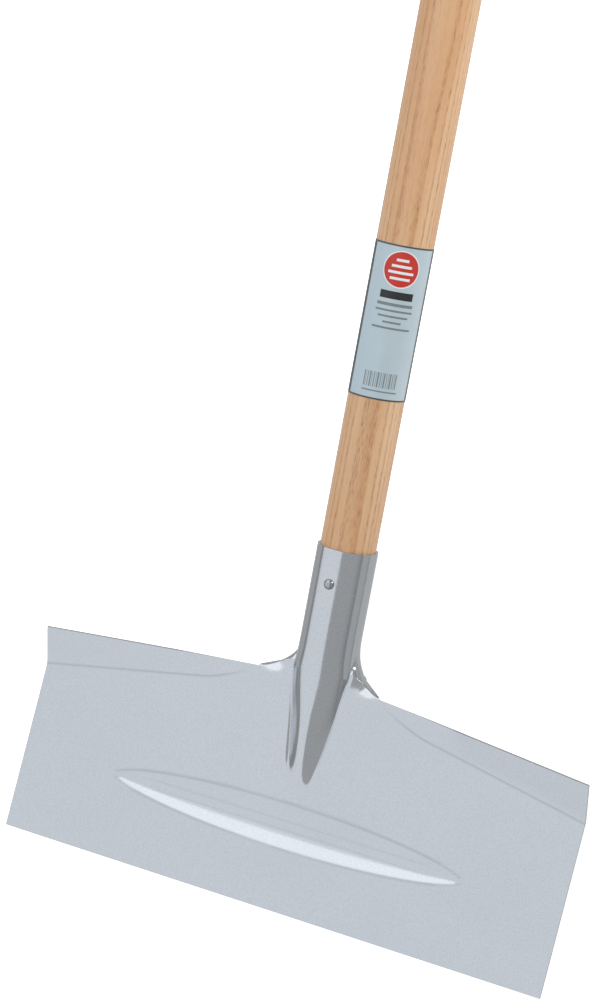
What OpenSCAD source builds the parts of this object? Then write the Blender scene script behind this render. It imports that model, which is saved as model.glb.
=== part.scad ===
// Long-handled scoop shovel with a wide, shallow pressed-steel blade.
// Frame: the pan of the blade lies level, +Z is the load side, the handle rises towards +Y, X runs across.

/* [Blade] */
// Width of the blade across its cutting edge
blade_width = 400; // [360:5:440]
// Depth of the pan along its straight sides
side_depth = 115; // [105:1:130]
// Thickness of the pressed sheet
sheet = 1.5; // [1.2:0.1:1.8]
// How far the rear flange reaches back at the sides, seen from above
flange_reach = 25; // [18:1:30]
// Angle at which the rear flange stands up from the pan
flange_angle = 28; // [20:1:35]
// How much further back the fold sits near the middle than at the sides
fold_rise = 29; // [24:1:31]

/* [Stiffening groove] */
// Length of the pressed groove across the pan
groove_length = 260; // [240:5:300]
// Width of the groove at the middle
groove_width = 30; // [26:1:34]
// Slope of the groove at its edges
groove_slope = 28; // [18:1:30]

/* [Socket] */
// Outside radius of the socket at its rim
rim_radius = 20.3; // [20.2:0.1:21]
// Outside radius of the socket at its root
root_radius = 20.2; // [20:0.1:20.2]
// Length of the rolled socket from its root to its rim
socket_length = 68; // [60:1:80]
// Angle between the pan and the handle
lift = 10; // [8:1:14]
// Half of the angle left open at the seam behind the socket
seam_half_angle = 2.5; // [1.5:0.5:4]

/* [Handle] */
// Length of the handle with its rounded end
handle_length = 1292; // [1092:10:1392]
// Radius of the handle where it enters the socket
handle_foot_radius = 18.6; // [18.4:0.1:18.6]
// Radius of the handle at its thickest point
handle_belly_radius = 19.4; // [19:0.1:20]
// Radius of the handle over its grip
handle_grip_radius = 19; // [18.5:0.1:19.5]

/* [Nail] */
// Radius of the domed nail head
nail_head_radius = 3.6; // [3:0.1:4.5]
// Radius of the nail shank
nail_radius = 2; // [1.5:0.1:2.5]
// Length of the nail below its head
nail_length = 27; // [20:1:32]

/* [Label] */
// Length of the foil label along the handle
label_length = 101; // [70:1:110]
// Half of the angle the label covers round the handle
label_half_angle = 92; // [60:1:120]

/* [Hidden] */

steel_colour = [0.74, 0.77, 0.79];
ash_colour = [0.80, 0.63, 0.46];
foil_colour = [0.60, 0.66, 0.68];
round_fn = 96;

// Plan of the blade, measured from the line that joins the ends of the fold
half_width = blade_width / 2;
front_y = -side_depth;
neck_half = 45;
neck_edge_y = 39.5;
neck_root_y = 46;
rear_root_y = 50;
neck_reach = 8;
fold_bend_x = 84;
fold_end_y = 38;
fold_follow = 0.9;
flange_from_x = 56;
flange_run_x = 60;
shoulder_height = 3;
shoulder_outer_x = 120;
shoulder_start_y = 6;

// Groove across the pan
groove_y = -58.5;
groove_core = 3;
groove_half = groove_length / 2;
groove_taper = 0.6;

// Raised root of the socket, which runs down into the pan
axis_y = 64;
tip_y = -34;
tip_half = 7.5;
tip_lean = 2.3;
tip_sharpness = 1.5;
back_delay = 1.6;
least_rise = 0.001;
crease_depth = 1.1;
crease_width = 1.3;
crease_gain = 3;
fillet_height = 1.8;
fillet_fade = 5;

// Rows and columns of the sheet
wing_steps = 13;
shoulder_steps = 6;
root_steps = 18;
front_steps = 4;
groove_steps = 12;
web_steps = 13;
flange_steps = 4;
neck_steps = 8;
socket_steps = 4;
groove_row_min = 7;
wing_crowding = 1.4;
shoulder_crowding = 1.6;

function mix(a, b, t) = a + (b - a) * t;
function clamp(t) = max(0, min(1, t));
function ease(t) = clamp(t) * clamp(t) * (3 - 2 * clamp(t));

// Depth of the groove pressed into the pan
function groove_side(x) = groove_width / 2 * pow(max(0, 1 - pow(x / groove_half, 2)), groove_taper);
function groove(x, y) =
    let (side = groove_side(x))
    side > 0 ? tan(groove_slope) * side / 2 * max(0, 1 - pow((y - groove_y) / side, 2)) : 0;

// Fold line and rear edge of the pan
function fold_y(x) =
    x > fold_bend_x
    ? fold_rise * (half_width - x) / (half_width - neck_half)
    : mix(fold_rise * (half_width - x) / (half_width - neck_half), fold_end_y,
          pow(min(1, (fold_bend_x - x) / (fold_bend_x - neck_half)), 2) * fold_follow);
function rear_y(x) =
    x > neck_half
    ? mix(neck_edge_y, flange_reach, (x - neck_half) / (half_width - neck_half))
    : mix(neck_edge_y, rear_root_y, ease((neck_half - x) / (neck_half / 2)));

// Height of the pan with its flange and the shoulders beside the socket
function shoulder(x, y) =
    shoulder_height * ease((y - shoulder_start_y) / (neck_edge_y - shoulder_start_y))
    * ease((shoulder_outer_x - x) / (shoulder_outer_x - neck_half));
function flange(x, y) = tan(flange_angle) * max(0, y - fold_y(x)) * ease((x - flange_from_x) / flange_run_x);
function pan(x, y) = shoulder(x, y) + flange(x, y);

// Raised root: half width, height of its crest, crease and fillet at its foot, and a round back that
// sharpens towards the tip
function root_run(y) = clamp((y - tip_y) / (neck_root_y - tip_y));
function root_half(y) = mix(tip_half, root_radius, root_run(y));
function socket_top(y) = (y - axis_y) * tan(lift) + root_radius / cos(lift);
function crest(y) = y > neck_root_y ? socket_top(y) : socket_top(neck_root_y) * root_run(y);
function crease(y) = crease_depth * ease(root_run(y) * crease_gain);
function fillet(y) = fillet_height * ease(root_run(y));
function root_height(x, y) =
    let (
        half = root_half(y),
        foot = pan(0, y) + fillet(y) - crease(y),
        rise = max(crest(y) - foot, least_rise),
        radius = (half * half + rise * rise) / (2 * rise),
        cap = sqrt(radius * radius - x * x) - radius + rise,
        peak = rise * pow(max(0, 1 - pow(x / half, 2)), tip_sharpness)
    )
    foot + mix(peak, cap, ease(pow(root_run(y), back_delay)));
function beside_root(x, y) =
    let (gap = max(0, x - root_half(y)))
    pan(x, y) + fillet(y) * exp(-gap / fillet_fade) - crease(y) * exp(-pow(gap / crease_width, 2));

// A column runs from -2 at one side of the blade to 2 at the other. The raised root lies between columns
// -0.5 and 0.5, and the socket is rolled from those between -1 and 1
function nominal_x(c) = c <= 1 ? neck_half * c : mix(neck_half, half_width, c - 1);
function column_x(c, y) =
    c <= 0.5
    ? root_half(y) * sin(180 * c)
    : c <= 1 ? mix(root_half(y), neck_half, 2 * c - 1) : mix(neck_half, half_width, c - 1);
function column_z(c, x, y) = c <= 0.5 ? root_height(x, y) : c <= 1 ? beside_root(x, y) : pan(x, y);
function column_lean(c, y) = tip_lean * (1 - root_run(y)) * clamp(2 - 2 * c);
function pan_point(c, y) =
    let (a = abs(c), x = column_x(a, y))
    [sign(c) * x + column_lean(a, y), y, column_z(a, x, y) - groove(x, y)];

function socket_radius(along) = mix(root_radius, rim_radius, clamp(along / socket_length));
function socket_point(c, along) =
    let (turn = c * (180 - seam_half_angle), r = socket_radius(along))
    [
        r * sin(turn),
        axis_y + along * cos(lift) - r * cos(turn) * sin(lift),
        along * sin(lift) + r * cos(turn) * cos(lift)
    ];

// A row runs from 0 at the cutting edge: front strip, groove, web, flange, neck, socket
function groove_row(x, u) =
    let (a = abs(u), side = max(groove_row_min, groove_side(x)))
    groove_y + sign(u) * (a < 1 / 3 ? 3 * a * groove_core : mix(groove_core, side, (3 * a - 1) / 2));
function row_y(k, x) =
    k < 1 ? mix(front_y, groove_row(x, -1), k)
    : k < 2 ? groove_row(x, 2 * k - 3)
    : k < 3 ? mix(groove_row(x, 1), fold_y(x), k - 2)
    : mix(fold_y(x), rear_y(x), k - 3);
function neck_point(c, t) =
    let (
        start_y = rear_y(nominal_x(abs(c))),
        flat_part = pan_point(c, mix(start_y, mix(start_y, axis_y, 0.5), t)),
        round_part = socket_point(c, mix((start_y - axis_y) / cos(lift), neck_reach, t))
    )
    mix(flat_part, round_part, ease(t));
function sheet_point(c, k) =
    k <= 4 ? pan_point(c, row_y(k, nominal_x(abs(c))))
    : k <= 5 ? neck_point(c, k - 4) : socket_point(c, mix(neck_reach, socket_length, k - 5));

columns = [
    for (i = [wing_steps:-1:1]) -1 - pow(i / wing_steps, wing_crowding),
    for (i = [shoulder_steps:-1:1]) -0.5 - 0.5 * pow(i / shoulder_steps, shoulder_crowding),
    for (i = [0:1:root_steps - 1]) -0.5 + i / root_steps,
    for (i = [0:1:shoulder_steps - 1]) 0.5 + 0.5 * pow(i / shoulder_steps, shoulder_crowding),
    for (i = [0:1:wing_steps]) 1 + pow(i / wing_steps, wing_crowding)
];
rows = [
    for (i = [0:1:front_steps - 1]) i / front_steps,
    for (i = [0:1:groove_steps - 1]) 1 + i / groove_steps,
    for (i = [0:1:web_steps - 1]) 2 + i / web_steps,
    for (i = [0:1:flange_steps - 1]) 3 + i / flange_steps,
    for (i = [0:1:neck_steps - 1]) 4 + i / neck_steps,
    for (i = [0:1:socket_steps]) 5 + i / socket_steps
];
last_column = len(columns) - 1;
last_row = len(rows) - 1;
neck_row = front_steps + groove_steps + web_steps + flange_steps;
neck_left = wing_steps;
neck_right = last_column - wing_steps;

function first_column(j) = j > neck_row ? neck_left : 0;
function end_column(j) = j > neck_row ? neck_right : last_column;
function grid_point(i, j) = sheet_point(columns[i], rows[j]);
function above(i, j) =
    j == last_row || (j == neck_row && (i < neck_left || i > neck_right)) ? j : j + 1;
function unit(v) = v / norm(v);
function sheet_normal(i, j) =
    let (
        across = grid_point(min(i + 1, end_column(j)), j) - grid_point(max(i - 1, first_column(j)), j),
        along = grid_point(i, above(i, j)) - grid_point(i, max(j - 1, 0))
    )
    unit(cross(across, along));

outer_points = [
    for (j = [0:1:last_row]) for (i = [first_column(j):1:end_column(j)]) grid_point(i, j)
];
inner_points = [
    for (j = [0:1:last_row]) for (i = [first_column(j):1:end_column(j)])
        grid_point(i, j) - sheet * sheet_normal(i, j)
];
wide_count = (neck_row + 1) * (last_column + 1);
narrow_row = neck_right - neck_left + 1;
function slot(i, j) =
    j <= neck_row
    ? j * (last_column + 1) + i
    : wide_count + (j - neck_row - 1) * narrow_row + i - neck_left;

// Cells of the sheet and the loop of its edge, each as corner lists
cells = [
    for (j = [0:1:last_row - 1])
        for (i = [first_column(j + 1):1:end_column(j + 1) - 1])
            [slot(i, j), slot(i, j + 1), slot(i + 1, j + 1), slot(i + 1, j)]
];
edge_loop = [
    for (i = [0:1:last_column - 1]) slot(i, 0),
    for (j = [0:1:neck_row - 1]) slot(last_column, j),
    for (i = [last_column:-1:neck_right + 1]) slot(i, neck_row),
    for (j = [neck_row:1:last_row - 1]) slot(neck_right, j),
    for (i = [neck_right:-1:neck_left + 1]) slot(i, last_row),
    for (j = [last_row:-1:neck_row + 1]) slot(neck_left, j),
    for (i = [neck_left:-1:1]) slot(i, neck_row),
    for (j = [neck_row:-1:1]) slot(0, j)
];
point_count = len(outer_points);
outer_faces = [for (q = cells) for (h = [0, 1]) h == 0 ? [q[0], q[1], q[2]] : [q[0], q[2], q[3]]];
inner_faces = [for (f = outer_faces) [f[2] + point_count, f[1] + point_count, f[0] + point_count]];
edge_faces = [
    for (n = [0:1:len(edge_loop) - 1])
        let (a = edge_loop[n], b = edge_loop[(n + 1) % len(edge_loop)])
        for (h = [0, 1])
            h == 0 ? [a, b, b + point_count] : [a, b + point_count, a + point_count]
];

// Handle stations along the axis, measured from the socket root
handle_start = 8;
handle_bevel = 4;
belly_at = 450;
grip_at = 950;
handle_end = handle_start + handle_length - handle_grip_radius;
function handle_radius(along) =
    mix(handle_foot_radius, handle_belly_radius, (along - socket_length) / (belly_at - socket_length));

nail_at = 45;
nail_head_height = 2.4;
nail_point = 5;
nail_tip_radius = 0.3;
nail_clearance = 0.1;
head_overlap = 1;
head_ball = (pow(nail_head_radius, 2) + pow(nail_head_height, 2)) / (2 * nail_head_height);
hole_reach = 30;
hole_stop = 12;

label_at = 170;
label_turn = 25;
label_thickness = 0.2;

// Centre the part over its footprint, with its lowest point at zero
middle_y = (front_y + axis_y + handle_end * cos(lift) + handle_grip_radius) / 2;
lowest_z = socket_point(1, neck_reach)[2];

module placed() {
    translate([0, -middle_y, -lowest_z])
        children();
}

// Local Z runs up the handle, local -Y faces out on the load side
module on_axis() {
    placed()
        translate([0, axis_y, 0])
            rotate([lift - 90, 0, 0])
                children();
}

// The shank runs along local +Y from inside the head on the front of the socket
module nail_shank(grow) {
    translate([0, -socket_radius(nail_at), nail_at])
        rotate([-90, 0, 0])
            rotate_extrude($fn = round_fn)
                polygon([
                    [0, -head_overlap],
                    [nail_radius + grow, -head_overlap],
                    [nail_radius + grow, nail_length - nail_point],
                    [nail_tip_radius, nail_length],
                    [0, nail_length]
                ]);
}

// One pressed sheet: pan, folded flange, groove, raised root and rolled socket, with the hole for the nail
module blade() {
    color(steel_colour)
        difference() {
            placed()
                polyhedron(
                    points = concat(outer_points, inner_points),
                    faces = concat(outer_faces, inner_faces, edge_faces),
                    convexity = 10
                );
            on_axis()
                translate([0, -hole_reach, nail_at])
                    rotate([-90, 0, 0])
                        cylinder(h = hole_reach - hole_stop, r = nail_radius + nail_clearance,
                                 $fn = round_fn);
        }
}

// Turned ash handle: bevelled foot, long swelling to the belly, grip of one radius, domed end
module handle() {
    color(ash_colour)
        on_axis()
            difference() {
                union() {
                    translate([0, 0, handle_start])
                        cylinder(h = handle_bevel, r1 = handle_foot_radius - handle_bevel / 2,
                                 r2 = handle_foot_radius, $fn = round_fn);
                    translate([0, 0, handle_start + handle_bevel])
                        cylinder(h = socket_length - handle_start - handle_bevel,
                                 r = handle_foot_radius, $fn = round_fn);
                    translate([0, 0, socket_length])
                        cylinder(h = belly_at - socket_length, r1 = handle_foot_radius,
                                 r2 = handle_belly_radius, $fn = round_fn);
                    translate([0, 0, belly_at])
                        cylinder(h = grip_at - belly_at, r1 = handle_belly_radius,
                                 r2 = handle_grip_radius, $fn = round_fn);
                    translate([0, 0, grip_at])
                        cylinder(h = handle_end - grip_at, r = handle_grip_radius, $fn = round_fn);
                    translate([0, 0, handle_end])
                        sphere(r = handle_grip_radius, $fn = round_fn);
                }
                nail_shank(nail_clearance);
            }
}

// Round-headed nail that holds the handle in the socket
module nail() {
    color(steel_colour)
        on_axis() {
            nail_shank(0);
            translate([0, -socket_radius(nail_at), nail_at])
                intersection() {
                    translate([0, head_ball - nail_head_height, 0])
                        sphere(r = head_ball, $fn = round_fn);
                    translate([-head_ball, -2 * nail_head_height, -head_ball])
                        cube([2 * head_ball, 2 * nail_head_height, 2 * head_ball]);
                }
        }
}

// Foil label wrapped part of the way round the handle
module label() {
    color(foil_colour)
        on_axis()
            rotate([0, 0, label_turn - 90 - label_half_angle])
                rotate_extrude(angle = 2 * label_half_angle, $fn = round_fn)
                    polygon([
                        [handle_radius(label_at), label_at],
                        [handle_radius(label_at) + label_thickness, label_at],
                        [handle_radius(label_at + label_length) + label_thickness, label_at + label_length],
                        [handle_radius(label_at + label_length), label_at + label_length]
                    ]);
}

blade();
handle();
nail();
label();
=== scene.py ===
"""Builds the looks of a long-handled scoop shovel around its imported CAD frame.

The pan of the blade lies level with its load side up, the handle rises towards +Y and X runs across.
Lengths in the dimension classes are millimetres; everything handed to Blender is metres.
"""

import logging
import math
from collections.abc import Iterable, Sequence
from dataclasses import dataclass, field
from enum import Enum, IntEnum
from functools import partial
from typing import Any, NamedTuple

import bmesh
import bpy
import numpy as np
from mathutils import Matrix, Vector


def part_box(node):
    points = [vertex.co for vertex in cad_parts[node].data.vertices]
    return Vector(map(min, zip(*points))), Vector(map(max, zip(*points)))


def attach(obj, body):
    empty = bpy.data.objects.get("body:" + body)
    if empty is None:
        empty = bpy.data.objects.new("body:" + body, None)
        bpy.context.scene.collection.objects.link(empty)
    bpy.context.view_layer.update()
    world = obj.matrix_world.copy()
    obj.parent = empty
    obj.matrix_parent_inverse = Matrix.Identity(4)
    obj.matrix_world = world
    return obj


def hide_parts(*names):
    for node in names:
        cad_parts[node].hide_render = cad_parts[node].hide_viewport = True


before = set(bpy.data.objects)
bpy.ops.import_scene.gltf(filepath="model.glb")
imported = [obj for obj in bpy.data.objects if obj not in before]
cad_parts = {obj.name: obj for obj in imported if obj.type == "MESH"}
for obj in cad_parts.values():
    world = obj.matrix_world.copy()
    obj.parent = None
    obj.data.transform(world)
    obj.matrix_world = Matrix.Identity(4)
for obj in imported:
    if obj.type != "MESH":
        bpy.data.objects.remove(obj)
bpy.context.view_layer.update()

log = logging.getLogger("shovel")

MM = 0.001
ROOT = "root"
ACROSS = Vector((1.0, 0.0, 0.0))

# Sockets of a Mix node in its colour mode, which share their names with those of its other modes.
FACTOR, FIRST, SECOND, MIXED = 0, 6, 7, 2


# ---------------------------------------------------------------- colours and nodes


def linear(code: str) -> tuple[float, float, float, float]:
    """Turns an sRGB hex colour into linear red, green, blue and alpha.

    Args:
        code: Six hex digits, with or without a leading hash.

    Returns:
        The four linear values, alpha being 1.
    """
    digits = code.lstrip("#")
    parts = [int(digits[i : i + 2], 16) / 255 for i in (0, 2, 4)]
    bent = [p / 12.92 if p <= 0.04045 else ((p + 0.055) / 1.055) ** 2.4 for p in parts]
    return (bent[0], bent[1], bent[2], 1.0)


def add(
    tree: bpy.types.NodeTree,
    kind: str,
    links: dict[Any, Any] | None = None,
    stops: Sequence[tuple[float, Any]] = (),
    **settings: Any,
) -> bpy.types.Node:
    """Adds a shader node with its settings, socket values and incoming links.

    Args:
        tree: The tree that takes the node.
        kind: The node's type name, without the ShaderNode that all of them start with.
        links: Socket name or index to a value, or to the socket that feeds it.
        stops: Position and colour (or grey level) of each stop, in order, where it is a ramp.
        **settings: Properties of the node itself.

    Returns:
        The new node.
    """
    node = tree.nodes.new(f"ShaderNode{kind}")
    for key, value in settings.items():
        setattr(node, key, value)
    for key, value in (links or {}).items():
        socket = node.inputs[key]
        if isinstance(value, bpy.types.NodeSocket):
            tree.links.new(value, socket)
        else:
            socket.default_value = value
    if stops:
        elements = node.color_ramp.elements
        while len(elements) < len(stops):
            elements.new(0.5)
        for element, (place, colour) in zip(elements, stops):
            element.position = place
            element.color = (colour, colour, colour, 1.0) if isinstance(colour, float) else colour
    return node


# ---------------------------------------------------------------- where the shovel lies


@dataclass(frozen=True)
class Pole:
    """The line of the handle, with everything that is measured along it.

    Attributes:
        lift: Angle between the pan and the handle, in degrees.
        axis_y: Where the line meets the level of the pan, behind the ends of the fold.
        foot: Distance along the line to the foot of the pole.
        rim: Distance along the line to the socket's rim.
        belly: Distance along the line to the thickest place of the handle.
        grip: Distance along the line to the start of the even grip.
        length: Length of the handle with its domed end.
        foot_radius: Radius in the socket.
        belly_radius: Radius at the thickest place.
        grip_radius: Radius of the grip.
    """

    lift: float = 10.0
    axis_y: float = 64.0
    foot: float = 8.0
    rim: float = 68.0
    belly: float = 450.0
    grip: float = 950.0
    length: float = 1300.0
    foot_radius: float = 18.6
    belly_radius: float = 19.4
    grip_radius: float = 19.0

    @property
    def along(self) -> Vector:
        """Unit vector up the handle."""
        angle = math.radians(self.lift)
        return Vector((0.0, math.cos(angle), math.sin(angle)))

    @property
    def front(self) -> Vector:
        """Unit vector out of the handle on the load side."""
        angle = math.radians(self.lift)
        return Vector((0.0, -math.sin(angle), math.cos(angle)))

    def radius(self, station: float) -> float:
        """Gives the handle's radius.

        Args:
            station: Distance along the line.

        Returns:
            The radius there, in millimetres.
        """
        if station < self.rim:
            return self.foot_radius
        if station < self.belly:
            share = (station - self.rim) / (self.belly - self.rim)
            return self.foot_radius + (self.belly_radius - self.foot_radius) * share
        share = min(1.0, (station - self.belly) / (self.grip - self.belly))
        return self.belly_radius + (self.grip_radius - self.belly_radius) * share

    def point(self, station: float, turn: float, radius: float) -> Vector:
        """Gives a point round the handle, measured like the pan.

        Args:
            station: Distance along the line.
            turn: Angle from the load side towards +X, in radians.
            radius: Distance from the line.

        Returns:
            The point, in millimetres.
        """
        origin = Vector((0.0, self.axis_y, 0.0))
        out = ACROSS * math.sin(turn) + self.front * math.cos(turn)
        return origin + self.along * station + out * radius


@dataclass(frozen=True)
class Place:
    """Moves points measured from the fold line into the row frame.

    Attributes:
        shift: The origin of the pan's measures in the row frame, in metres.
    """

    shift: Vector

    @classmethod
    def from_cad(cls, side_depth: float) -> "Place":
        """Reads the shift from the CAD blade's box.

        Args:
            side_depth: Depth of the pan at its sides, in millimetres.

        Returns:
            The place of the pan.
        """
        low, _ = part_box("blade")
        _, grip_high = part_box("handle")
        pole = Pole()
        end = pole.point(pole.length - pole.grip_radius, 0.0, 0.0) * MM
        height = grip_high.z - end.z - pole.grip_radius * MM
        return cls(Vector((0.0, low.y + side_depth * MM, height)))

    def matrix(self) -> Matrix:
        """Matrix from millimetres of the pan to metres of the row frame."""
        return Matrix.Translation(self.shift) @ Matrix.Scale(MM, 4)


# ---------------------------------------------------------------- mesh helpers


def deselect() -> None:
    """Leaves edit mode and selects nothing."""
    if bpy.context.object and bpy.context.object.mode != "OBJECT":
        bpy.ops.object.mode_set(mode="OBJECT")
    bpy.ops.object.select_all(action="DESELECT")


def activate(obj: bpy.types.Object) -> None:
    """Makes an object the only selected and the active one.

    Args:
        obj: The object.
    """
    deselect()
    obj.select_set(True)
    bpy.context.view_layer.objects.active = obj


def settle(obj: bpy.types.Object, name: str, matrix: Matrix, angle: float = 40.0) -> bpy.types.Object:
    """Names a finished object, puts its place into its mesh and shades it smooth.

    Args:
        obj: The object, still at its own origin.
        name: Its final name.
        matrix: Where its mesh goes in the row frame.
        angle: Edges sharper than this stay sharp, in degrees.

    Returns:
        The same object.
    """
    deselect()
    obj.name = name
    obj.data.name = name
    obj.data.transform(matrix @ obj.matrix_world)
    obj.matrix_world = Matrix.Identity(4)
    activate(obj)
    bpy.ops.object.mode_set(mode="EDIT")
    bpy.ops.mesh.select_all(action="SELECT")
    bpy.ops.mesh.normals_make_consistent(inside=False)
    bpy.ops.object.mode_set(mode="OBJECT")
    bpy.ops.object.shade_smooth_by_angle(angle=math.radians(angle))
    deselect()
    return obj


def apply_all(obj: bpy.types.Object) -> None:
    """Applies every modifier of an object in order.

    Args:
        obj: The object.
    """
    activate(obj)
    for modifier in list(obj.modifiers):
        bpy.ops.object.modifier_apply(modifier=modifier.name)


def lathe(profile: Sequence[tuple[float, float]], steps: int) -> bpy.types.Object:
    """Spins a profile once round the Z axis into a closed solid.

    Args:
        profile: Radius and height of each point, starting and ending on the axis.
        steps: Number of steps round the axis.

    Returns:
        The new object, at the world origin.
    """
    deselect()
    bpy.ops.mesh.primitive_circle_add(vertices=3, radius=1.0)
    obj = bpy.context.object
    bpy.ops.object.mode_set(mode="EDIT")
    bpy.ops.mesh.select_all(action="SELECT")
    bpy.ops.mesh.delete(type="VERT")
    mesh = bmesh.from_edit_mesh(obj.data)
    points = [mesh.verts.new((radius, 0.0, height)) for radius, height in profile]
    for a, b in zip(points, points[1:]):
        mesh.edges.new((a, b))
    bmesh.update_edit_mesh(obj.data)
    bpy.ops.mesh.select_all(action="SELECT")
    bpy.ops.mesh.spin(
        steps=steps, angle=math.tau, center=(0, 0, 0), axis=(0, 0, 1), use_auto_merge=False
    )
    bpy.ops.mesh.select_all(action="SELECT")
    bpy.ops.mesh.remove_doubles(threshold=1e-4)
    bpy.ops.object.mode_set(mode="OBJECT")
    return obj


def smooth_step(value: Any) -> Any:
    """Eases a value from 0 to 1 with level ends.

    Args:
        value: A number or array.

    Returns:
        The eased value.
    """
    held = np.clip(value, 0.0, 1.0)
    return held * held * (3.0 - 2.0 * held)


def soft_positive(value: Any, bend: float) -> Any:
    """Keeps the positive part of a value with a rounded corner.

    Args:
        value: A number or array.
        bend: Size of the rounded corner.

    Returns:
        The rounded positive part.
    """
    return 0.5 * (value + np.sqrt(value * value + bend * bend))


def quarter_turn(steps: int) -> list[float]:
    """Gives the angles of a quarter turn.

    Args:
        steps: Number of steps.

    Returns:
        The angles from 0 to 90 degrees, in radians.
    """
    return [step / steps * math.pi / 2 for step in range(steps + 1)]


# ---------------------------------------------------------------- finishes


@dataclass(frozen=True)
class Finish:
    """A named surface finish.

    Attributes:
        name: Material name: the real material and how it is made.
    """

    name: str

    def new(self) -> tuple[bpy.types.Material, bpy.types.NodeTree, bpy.types.Node]:
        """Starts an empty material.

        Returns:
            The material, its tree and its Principled node.
        """
        material = bpy.data.materials.new(self.name)
        material.use_nodes = True
        tree = material.node_tree
        tree.nodes.clear()
        shader = add(tree, "BsdfPrincipled")
        add(tree, "OutputMaterial", {"Surface": shader.outputs["BSDF"]})
        return material, tree, shader

    def build(self) -> bpy.types.Material:
        """Makes the material.

        Returns:
            The material.
        """
        raise NotImplementedError


@dataclass(frozen=True)
class ZincSheet(Finish):
    """Cold-rolled sheet with a thin bright zinc coat, pressed cold.

    It gives the eye broad reflections with a light haze, a slightly clouded tone, and darker lines
    along the pressed bends, which are painted shade.

    Attributes:
        pale: Colour of the clean coat.
        dull: Colour where the coat is duller.
        pore_and_crease_shade: Colour in the pores of the coat, and of the painted shade along the pressed
            bends.
        roughness: Lowest and highest roughness.
        clouds: Clouds of the coat's tone per metre, about 110 mm each.
        grain: Uneven spots of the coat per metre, about 4 mm each.
        rolling: Rolling lines per metre along X, Y and Z, about 1.1 mm apart and 25 mm long.
        pores: Pores of the coat per metre. Real ones are a few tenths of a millimetre apart, too
            fine to show, so they are drawn 1.1 mm apart.
        pore_share: How much of the strained colour the pores take.
        crease_shade_share: How much of it the painted shade along the pressed bends takes.
    """

    name: str = "zinc_coated_steel_sheet_pressed"
    pale: str = "#e2e6ea"
    dull: str = "#d8dde2"
    pore_and_crease_shade: str = "#b4b8bc"
    roughness: tuple[float, float] = (0.11, 0.18)
    clouds: float = 9.0
    grain: float = 260.0
    rolling: tuple[float, float, float] = (900.0, 40.0, 900.0)
    pores: float = 900.0
    pore_share: float = 0.24
    crease_shade_share: float = 0.55

    def build(self) -> bpy.types.Material:
        """Mixes the tone, the painted shade along the bends, the haze and the relief of the coat.

        Returns:
            The material.
        """
        material, tree, shader = self.new()
        put = partial(add, tree)
        place = put("TexCoord").outputs["Object"]
        patterns = (
            {"Scale": self.clouds, "Detail": 4.0, "Roughness": 0.6},
            {"Scale": self.grain, "Detail": 3.0, "Roughness": 0.7},
            {"Scale": self.pores, "Detail": 2.0, "Roughness": 0.7},
        )
        cloud, grain, speck = (
            put("TexNoise", {"Vector": place} | pattern).outputs["Fac"] for pattern in patterns
        )
        rolled = put("Mapping", {"Vector": place, "Scale": self.rolling}).outputs["Vector"]
        lines = put("TexNoise", {"Vector": rolled, "Scale": 1.0, "Detail": 2.0}).outputs["Fac"]
        pores = put("ValToRGB", {"Fac": speck}, [(0.40, 0.0), (0.70, 1.0)]).outputs["Color"]
        # The bend attribute carries the painted shade lines along the fold and the groove.
        bend = put("Attribute", attribute_name="bend").outputs["Fac"]

        mix = {FACTOR: cloud, FIRST: linear(self.dull), SECOND: linear(self.pale)}
        tone = put("Mix", mix, data_type="RGBA").outputs[MIXED]
        for marks, share in ((pores, self.pore_share), (bend, self.crease_shade_share)):
            shown = put("Math", {0: marks, 1: share}, operation="MULTIPLY").outputs[0]
            mix = {FACTOR: shown, FIRST: tone, SECOND: linear(self.pore_and_crease_shade)}
            tone = put("Mix", mix, data_type="RGBA").outputs[MIXED]
        tree.links.new(tone, shader.inputs["Base Color"])
        shader.inputs["Metallic"].default_value = 1.0

        low, high = self.roughness
        haze = put("MapRange", {"Value": cloud, "To Min": low, "To Max": high})
        tree.links.new(haze.outputs["Result"], shader.inputs["Roughness"])

        uneven = put("Math", {0: grain, 1: 0.5}, operation="MULTIPLY").outputs[0]
        drawn = put("Math", {0: lines, 1: 0.35}, operation="MULTIPLY").outputs[0]
        relief = put("Math", {0: uneven, 1: drawn}, operation="ADD").outputs[0]
        bump = put("Bump", {"Strength": 0.06, "Distance": 0.4 * MM, "Height": relief})
        tree.links.new(bump.outputs["Normal"], shader.inputs["Normal"])
        return material


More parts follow.
